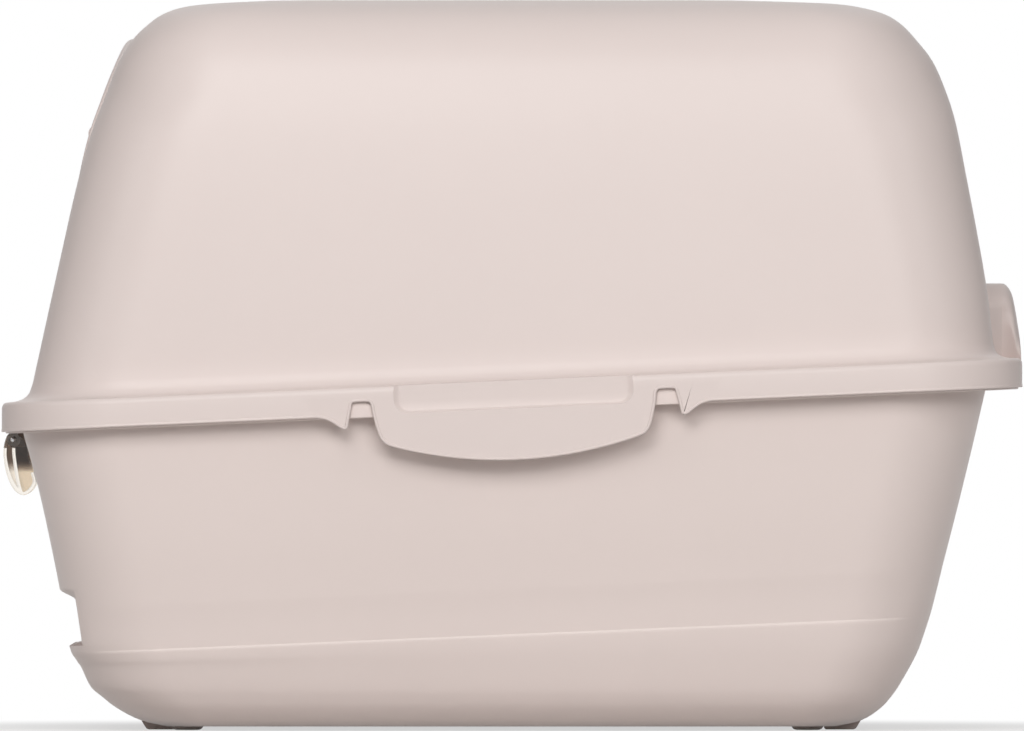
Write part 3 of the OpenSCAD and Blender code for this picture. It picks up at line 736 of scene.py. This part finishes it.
for s in (-1, 1):
    rings = [pocket_ring(s * y, inset) for y, inset in pocket_depths]
    cuts.append(solid("finger_pocket", rings, tidy=True))
carve(hood, "DIFFERENCE", cuts)
knuckles = []
for y, half in ((-69, 3.4), (0, 8), (69, 3.4)):
    knuckles.append(prism("roof_knuckle", disc(hinge_x, hinge_z, barrel), y - half, y + half))
    web = [(hinge_x - 2, hinge_z - 5.6), (hinge_x + 7.4, hinge_z - 5.6), (hinge_x + 7.4, hinge_z - 1),
           (hinge_x - 2, hinge_z - 1)]
    knuckles.append(prism("knuckle_web", web, y - half, y + half))
carve(hood, "UNION", knuckles)
hood_plastic = moulded_plastic("hood_plastic", (0.785, 0.68, 0.645), 0.38)
finish_surface(hood, hood_plastic)
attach(hood, "upper")
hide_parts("hood")

# Entry frame: the raised surround of the front entry, moulded on its own and clipped into the
# hood. A brow grows out of the wall over the arch, and a boss at each side takes the flap's axle.
face_line = [(180, 17.2), (196, 20.5), (256.5, 33), (317, 45.5), (347, 55), (373, 65), (380.5, 69.5),
             (386, 73.4)]
front_wall = [(z + share * rim_slope * (front - half_length), front)
              for z, front, _, _, _, share in hood_levels]
frame_section = [(0, 9), (0, 1), (0.3, 0.3), (1, 0), (11, 0), (11.7, 0.3), (12, 1), (12, 9)]
brow_section = [(11.4, 1), (11.4, 0.02), (16.4, 0), (17.2, 0.07), (17.8, 0.25), (18, 0.5), (18, 1)]
brow_start = 306
pivot_x = -227.6
pivot_z = 327


def section_x(line, z):
    """Where a line given as (height, front inset) lies, from the middle of the box."""
    return between(line, place_of(line, z))[1] - half_length


frame_rings = [[(section_x(face_line, z) + depth, y, z) for y, z in arch_outline(grow)]
               for grow, depth in frame_section]
entry_frame = solid("entry_surround", frame_rings, closed=True, tidy=True)
arches = [arch_outline(grow) for grow, _ in brow_section]
brow_rings = []
for j, (_, height) in enumerate(arches[-1]):
    if height < brow_start:
        continue
    points = []
    for arch, (_, share) in zip(arches, brow_section):
        y, z = arch[j]
        front = section_x(face_line, z)
        back = max(section_x(front_wall, z) + 0.4, front + 0.3)
        points.append((front + share * (back - front), y, z))
    brow_rings.append(points)
parts = [solid("brow", brow_rings, tidy=True)]
for s in (-1, 1):
    parts.append(prism("boss", disc(pivot_x, pivot_z, 4.8), s * 92.8, s * 100.4))
carve(entry_frame, "UNION", parts)
finish_surface(entry_frame, hood_plastic)
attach(entry_frame, "upper")
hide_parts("entry_frame")

# Flap: a see-through smoked moulding, a little bowed with the front wall, with a raised border and
# a grip ridge. It swings both ways on two stub axles in the frame's bosses.
flap_back = 3
flap_thick = 2.4
flap_gap = 1.7
flap_middle = 290
flap_edge = [(9.6, 0), (9.2, -0.4), (6.8, -0.4), (6.4, 0), (1.2, 0), (0.5, 0.1), (0.15, 0.35), (0, 0.8),
             (0, 1.6), (0.15, 2.05), (0.5, 2.3), (1.2, 2.4), (6.4, 2.4), (9.6, 2.4)]


def flap_ring(inset, depth, size=1):
    points = []
    for y, z in arch_outline(-flap_gap - inset):
        z = flap_middle + (z - flap_middle) * size
        points.append((section_x(face_line, z) + flap_back + depth, y * size, z))
    return points


shrunk = (0.04, 0.2, 0.4, 0.6, 0.8, 0.93)
flap_rings = [flap_ring(9.6, 0, size) for size in shrunk]
flap_rings += [flap_ring(inset, depth) for inset, depth in flap_edge]
flap_rings += [flap_ring(9.6, flap_thick, size) for size in reversed(shrunk)]
flap = solid("flap_moulding", flap_rings, tidy=True)
ridge_z = 239
ridge_x = section_x(face_line, ridge_z) + flap_back + 0.4
ridge_shape = [(0.6, -0.6), (-1.6, 0), (-2.9, 0.8), (-3.5, 1.9), (-3.6, 3), (-3.2, 4.3), (-2, 5.5),
               (0.2, 6.4), (1.4, 6.6)]
ridge_rings = []
for y, size in ((-32, 0.1), (-31.6, 0.45), (-30.6, 0.75), (-29, 0.93), (-27, 1), (27, 1), (29, 0.93),
                (30.6, 0.75), (31.6, 0.45), (32, 0.1)):
    ridge_rings.append([(ridge_x + a * size + 0.6 * (1 - size), y, ridge_z + 3 + (b - 3) * size)
                        for a, b in ridge_shape])
parts = [solid("grip_ridge", ridge_rings, tidy=True)]
for s in (-1, 1):
    parts.append(prism("axle", disc(pivot_x, pivot_z, 2.3), s * 86, s * 98.4))
    parts.append(prism("axle_hub", disc(pivot_x, pivot_z, 4), s * 76.4, s * 88.4))
carve(flap, "UNION", parts)


def smoked_plastic(name, colour, roughness, painted_shade_colour=None, painted_shade_above=0):
    """Clear tinted plastic with a gloss that varies faintly. A painted shade may darken the tint above a
    height, and the edges at both ends stay clear of it."""
    made = bpy.data.materials.new(name)
    made.use_nodes = True
    nodes, links = made.node_tree.nodes, made.node_tree.links
    skin = nodes["Principled BSDF"]
    skin.inputs["Base Color"].default_value = colour
    skin.inputs["IOR"].default_value = 1.49
    skin.inputs["Transmission Weight"].default_value = 1
    where = nodes.new("ShaderNodeTexCoord")
    # Painted shade: above the given height the colour turns to the dark one, standing in for shadow and dark
    # reflections under an overhang; the ends are kept clear of it.
    if painted_shade_colour:
        place = nodes.new("ShaderNodeSeparateXYZ")
        links.new(where.outputs["Object"], place.inputs["Vector"])
        depth = nodes.new("ShaderNodeMapRange")
        depth.inputs["From Min"].default_value = (painted_shade_above - 3) * mm
        depth.inputs["From Max"].default_value = (painted_shade_above + 3) * mm
        links.new(place.outputs["Z"], depth.inputs["Value"])
        sideways = nodes.new("ShaderNodeMath")
        sideways.operation = "ABSOLUTE"
        links.new(place.outputs["Y"], sideways.inputs[0])
        ends = nodes.new("ShaderNodeMapRange")
        ends.inputs["From Min"].default_value = 43.6 * mm
        ends.inputs["From Max"].default_value = 42.8 * mm
        links.new(sideways.outputs[0], ends.inputs["Value"])
        share = nodes.new("ShaderNodeMath")
        share.operation = "MULTIPLY"
        links.new(depth.outputs["Result"], share.inputs[0])
        links.new(ends.outputs["Result"], share.inputs[1])
        tint = nodes.new("ShaderNodeMix")
        tint.data_type = "RGBA"
        tint.inputs[6].default_value = colour
        tint.inputs[7].default_value = painted_shade_colour
        links.new(share.outputs[0], tint.inputs[0])
        links.new(tint.outputs[2], skin.inputs["Base Color"])
    smears = nodes.new("ShaderNodeTexNoise")
    smears.inputs["Scale"].default_value = 45
    smears.inputs["Detail"].default_value = 4
    links.new(where.outputs["Object"], smears.inputs["Vector"])
    sheen = nodes.new("ShaderNodeMapRange")
    sheen.inputs["To Min"].default_value = roughness
    sheen.inputs["To Max"].default_value = roughness + 0.08
    links.new(smears.outputs["Fac"], sheen.inputs["Value"])
    links.new(sheen.outputs["Result"], skin.inputs["Roughness"])
    relief = nodes.new("ShaderNodeBump")
    relief.inputs["Strength"].default_value = 0.06
    relief.inputs["Distance"].default_value = 0.3 * mm
    links.new(smears.outputs["Fac"], relief.inputs["Height"])
    links.new(relief.outputs["Normal"], skin.inputs["Normal"])
    return made


finish_surface(flap, smoked_plastic("smoked_flap", (0.5, 0.42, 0.36, 1), 0.04), 40)
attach(flap, "flap")
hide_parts("entry_flap")

# Roof hatch: a flush panel over the top entry, with nine vent slots, a dished recess for the lock
# and a stiffening rim below. Two knuckles at its rear turn on the steel pin in the roof's trough.
panel_under = 396.9
dish_front = -107.5
dish_rear = -58.5
dish_half = 21.5
dish_floor = 387.5
edge_in = [(390, 0), (399.3, 0), (399.7, -0.12), (400.05, -0.45), (401, -1.4)]

hatch = slab("hatch_panel", hatch_front + 0.8, hatch_rear - 2.2, hatch_half - 0.8, roof_corner - 0.8,
             [(panel_under, 0), (399.1, 0), (399.6, 0.15), (399.88, 0.45), (400, 0.95)])
rim_under = slab("hatch_rim", hatch_front + 9.4, hatch_rear - 9.4, hatch_half - 9.4, roof_corner - 9.4,
                 [(391.4, 0.5), (391.9, 0), (398, 0)])
carve(rim_under, "DIFFERENCE", [slab("hatch_hollow", hatch_front + 11.4, hatch_rear - 11.4, hatch_half - 11.4,
                                     roof_corner - 11.4, [(386, 0), (panel_under, 0)])])
parts = [rim_under, slab("dish_cup", dish_front - 2.2, dish_rear + 2.2, dish_half + 2.2, 8,
                         [(dish_floor - 2.2, 1), (dish_floor - 1.2, 0), (398, 0)])]
for s in (-1, 1):
    parts.append(prism("hatch_knuckle", disc(hinge_x, hinge_z, barrel), s * 40, s * 56))
    arm = [(96.6, 396.7), (hinge_x, 396.2), (hinge_x + 1.2, 398.8), (hinge_x - 3, 399.2), (96.6, 399.2)]
    parts.append(prism("knuckle_arm", arm, s * 40, s * 56))
carve(hatch, "UNION", parts)
parts = [slab("dish", dish_front, dish_rear, dish_half, 6,
              [(dish_floor, 1.4), (dish_floor + 0.5, 0.4), (dish_floor + 1.4, 0)] + edge_in[1:])]
for x in (dish_front - 6, dish_rear - 1):
    parts.append(prism("bolt_way", [(x, dish_floor + 0.05), (x + 7, dish_floor + 0.05), (x + 7, 393.1),
                                    (x, 393.1)], -6.4, 6.4))
for k in range(9):
    parts.append(slab("vent_slot", -32 + 12 * k, -28 + 12 * k, 42, 1.95, edge_in))
parts.append(prism("pin_bore", disc(hinge_x, hinge_z, 1.56), -60, 60))
carve(hatch, "DIFFERENCE", parts)
finish_surface(hatch, hood_plastic)
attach(hatch, "hatch")
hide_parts("roof_hatch")


def wire_pin(name, x, z, half, body, node):
    """A straight pin of drawn steel wire with rounded ends, turned smooth."""
    rings = []
    for y, r in ((-half, 0.5), (-half + 0.15, 1.1), (-half + 0.6, 1.5),
                 (half - 0.6, 1.5), (half - 0.15, 1.1), (half, 0.5)):
        rings.append([(a, y, b) for a, b in disc(x, z, r, 32)])
    pin = solid(name, rings, tidy=True)
    finish_surface(pin, drawn_steel, 40)
    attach(pin, body)
    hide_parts(node)


drawn_steel = bpy.data.materials.new("drawn_steel")
drawn_steel.use_nodes = True
nodes, links = drawn_steel.node_tree.nodes, drawn_steel.node_tree.links
skin = nodes["Principled BSDF"]
skin.inputs["Base Color"].default_value = (0.56, 0.57, 0.58, 1)
skin.inputs["Metallic"].default_value = 1
where = nodes.new("ShaderNodeTexCoord")
drawn = nodes.new("ShaderNodeMapping")
drawn.inputs["Scale"].default_value = (900, 12, 900)
links.new(where.outputs["Object"], drawn.inputs["Vector"])
lines = nodes.new("ShaderNodeTexNoise")
lines.inputs["Scale"].default_value = 1
links.new(drawn.outputs["Vector"], lines.inputs["Vector"])
sheen = nodes.new("ShaderNodeMapRange")
sheen.inputs["To Min"].default_value = 0.2
sheen.inputs["To Max"].default_value = 0.36
links.new(lines.outputs["Fac"], sheen.inputs["Value"])
links.new(sheen.outputs["Result"], skin.inputs["Roughness"])
wire_pin("hatch_wire_pin", hinge_x, hinge_z, 72, "upper", "hatch_hinge_pin")

# Hatch lock: a ribbed button in the dish, in the tray's shade, moulded with a flat bolt that goes
# under the roof's ledge when the button is pushed forwards.
button_front = dish_front + 13
lock = slab("lock_button", button_front, button_front + 20, 10, 2.4,
            [(387.8, 0.3), (388.1, 0), (396.8, 0.2), (397.3, 0.45), (397.55, 0.9), (397.6, 1.5)])
parts = []
for k in range(4):
    x = button_front + 2.5 + 4.4 * k
    rib = [(x - 0.1, 397.3), (x + 0.15, 398.5), (x + 0.5, 398.95), (x + 0.9, 399), (x + 1.3, 398.95),
           (x + 1.65, 398.5), (x + 1.9, 397.3)]
    parts.append(prism("button_rib", rib, -8.6, 8.6))
for a, b in ((hatch_front + 9.5, button_front + 1), (button_front + 19, dish_rear + 9)):
    parts.append(slab("bolt", a, b, 6, 0.8, [(387.8, 0.25), (388.05, 0), (392.5, 0), (392.8, 0.3)]))
carve(lock, "UNION", parts)
# The lock shares the tray's material, painted light included.
finish_surface(lock, tray_plastic)
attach(lock, "lock")
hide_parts("hatch_lock")

# Filter cassette: a slotted tray that snaps up under the vent slots, with a block of charcoal felt
# in it. The felt is pressed fibre, so its surface is rough and uneven.
holder_front = -44
holder_rear = 76
holder_half = 60
holder_floor = panel_under - 16
holder = slab("filter_tray", holder_front, holder_rear, holder_half, 8,
              [(holder_floor, 0.9), (holder_floor + 0.3, 0.3), (holder_floor + 1, 0), (panel_under, 0)])
parts = [slab("tray_hollow", holder_front + 2, holder_rear - 2, holder_half - 2, 6,
              [(holder_floor + 2, 0.6), (holder_floor + 2.6, 0), (panel_under + 1, 0)])]
for k in range(8):
    x = holder_front + 12 + 12.6 * k
    parts.append(slab("tray_slot", x, x + 6, holder_half - 10, 2.9,
                      [(holder_floor - 1, -0.8), (holder_floor + 0.3, 0), (holder_floor + 3, 0)]))
carve(holder, "DIFFERENCE", parts)
finish_surface(holder, hood_plastic)
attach(holder, "hatch")
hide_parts("filter_holder")

felt_block = slab("felt_block", holder_front + 3, holder_rear - 3, holder_half - 3, 5,
                  [(holder_floor + 2.05, 0.8), (holder_floor + 2.6, 0), (panel_under - 1.4, 0),
                   (panel_under - 0.7, 0.7)])
felt = bpy.data.materials.new("charcoal_felt")
felt.use_nodes = True
nodes, links = felt.node_tree.nodes, felt.node_tree.links
skin = nodes["Principled BSDF"]
skin.inputs["Roughness"].default_value = 0.95
where = nodes.new("ShaderNodeTexCoord")
fibres = nodes.new("ShaderNodeTexNoise")
fibres.inputs["Scale"].default_value = 700
fibres.inputs["Detail"].default_value = 6
fibres.inputs["Distortion"].default_value = 1.5
links.new(where.outputs["Object"], fibres.inputs["Vector"])
shade = nodes.new("ShaderNodeMix")
shade.data_type = "RGBA"
shade.inputs[6].default_value = (0.012, 0.012, 0.013, 1)
shade.inputs[7].default_value = (0.075, 0.075, 0.078, 1)
links.new(fibres.outputs["Fac"], shade.inputs[0])
links.new(shade.outputs[2], skin.inputs["Base Color"])
relief = nodes.new("ShaderNodeBump")
relief.inputs["Strength"].default_value = 0.9
relief.inputs["Distance"].default_value = 1 * mm
links.new(fibres.outputs["Fac"], relief.inputs["Height"])
links.new(relief.outputs["Normal"], skin.inputs["Normal"])
finish_surface(felt_block, felt, 50)
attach(felt_block, "hatch")
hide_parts("charcoal_filter")

# Pull handle: a hollow blade of pale tinted plastic hung under the front rim, with painted shade above 144 mm
# for the rim's shadow on it and the painted reflection of the rim's dark underside. Its curved skins are
# joined by two end walls and two ribs. Its barrel turns on a steel pin in the tray's lugs.
handle_half = 45
end_wall_in = 2.5
# Height above which the handle's colour carries painted shade.
painted_shade_height = 144
outer_skin = smoothed([(1.4, 159.6), (0.6, 156.5), (0.1, 152.5), (0.3, 148.5), (1.3, 142), (3.4, 135.6),
                       (6.2, 131), (9.6, 128.5)])
outer_back = smoothed([(12.2, 129), (9.6, 130.8), (7.4, 133.4), (5, 137.4), (3.1, 142.8), (2, 148.7),
                       (1.8, 152.4), (2.2, 156.4), (3, 159.6)])
second_skin = smoothed([(5.4, 161), (4.9, 155), (5.1, 150), (6, 143), (7.4, 135), (9, 129.4)])
second_back = smoothed([(10.9, 129.6), (9.2, 135.2), (7.8, 143.2), (6.8, 150.2), (6.6, 155.1), (7, 161)])
rib_shape = smoothed([(6, 161), (9, 162), (12, 160.4), (13, 156), (13.6, 150), (15, 145), (16.6, 141),
                      (18, 136.6), (17.2, 133.4), (15.2, 130.6), (12.6, 128.8), (9.8, 128.6), (8, 134),
                      (6.6, 145), (5.8, 153), (6, 161)])[:-1]
inner_skin = smoothed([(16.4, 141.2), (17.8, 136.8), (17, 133.5), (15, 130.8), (12.4, 129), (10, 128.6)])
inner_back = smoothed([(10, 130.2), (12, 130.4), (14, 132), (15.6, 134.2), (16.2, 136.8), (15, 140.6)])


def handle_plate(name, outline_points, low, high):
    return prism(name, [(x - half_length, z) for x, z in outline_points], low, high)


handle = handle_plate("pull_blade", outer_skin + outer_back, -handle_half, handle_half)
end_shape = outer_skin + [(12.6, 128.8), (15.2, 130.6), (17.2, 133.4), (18, 136.6), (16.6, 141), (15, 145),
                          (13.6, 150), (13, 156), (11.6, 158.6), (9, 160.8), (5, 161)]
parts = [handle_plate("near_end", end_shape, end_wall_in - handle_half, end_wall_in + 2 - handle_half),
         handle_plate("far_end", end_shape, handle_half - end_wall_in - 2, handle_half - end_wall_in),
         handle_plate("second_blade", second_skin + second_back, -handle_half, handle_half),
         handle_plate("inner_blade", inner_skin + inner_back, -handle_half, handle_half),
         prism("handle_barrel", disc(handle_x, handle_z, 4), -handle_half, handle_half)]
for y in (-15, 13):
    parts.append(handle_plate("handle_rib", rib_shape, y, y + 2))
carve(handle, "UNION", parts)
parts = [prism("handle_bore", disc(handle_x, handle_z, 1.56), -handle_half - 1, handle_half + 1)]
for y in lug_places:
    parts.append(prism("lug_gap", [(-285, handle_z - 4.7), (-265, handle_z - 4.7), (-265, 167), (-285, 167)],
                       y - lug_half - 0.6, y + lug_half + 0.6))
carve(handle, "DIFFERENCE", parts)
# The dark colour above the given height is painted shade: the rim's shadow and the painted reflection of its
# dark underside.
smoked_handle_painted_shade = smoked_plastic("smoked_handle_painted_shade", (0.93, 0.88, 0.81, 1), 0.03,
                               (0.3, 0.23, 0.18, 1), painted_shade_height)
finish_surface(handle, smoked_handle_painted_shade, 35)
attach(handle, "handle")
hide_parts("pull_handle")
wire_pin("handle_wire_pin", handle_x, handle_z, 45, "base", "pull_handle_pin")
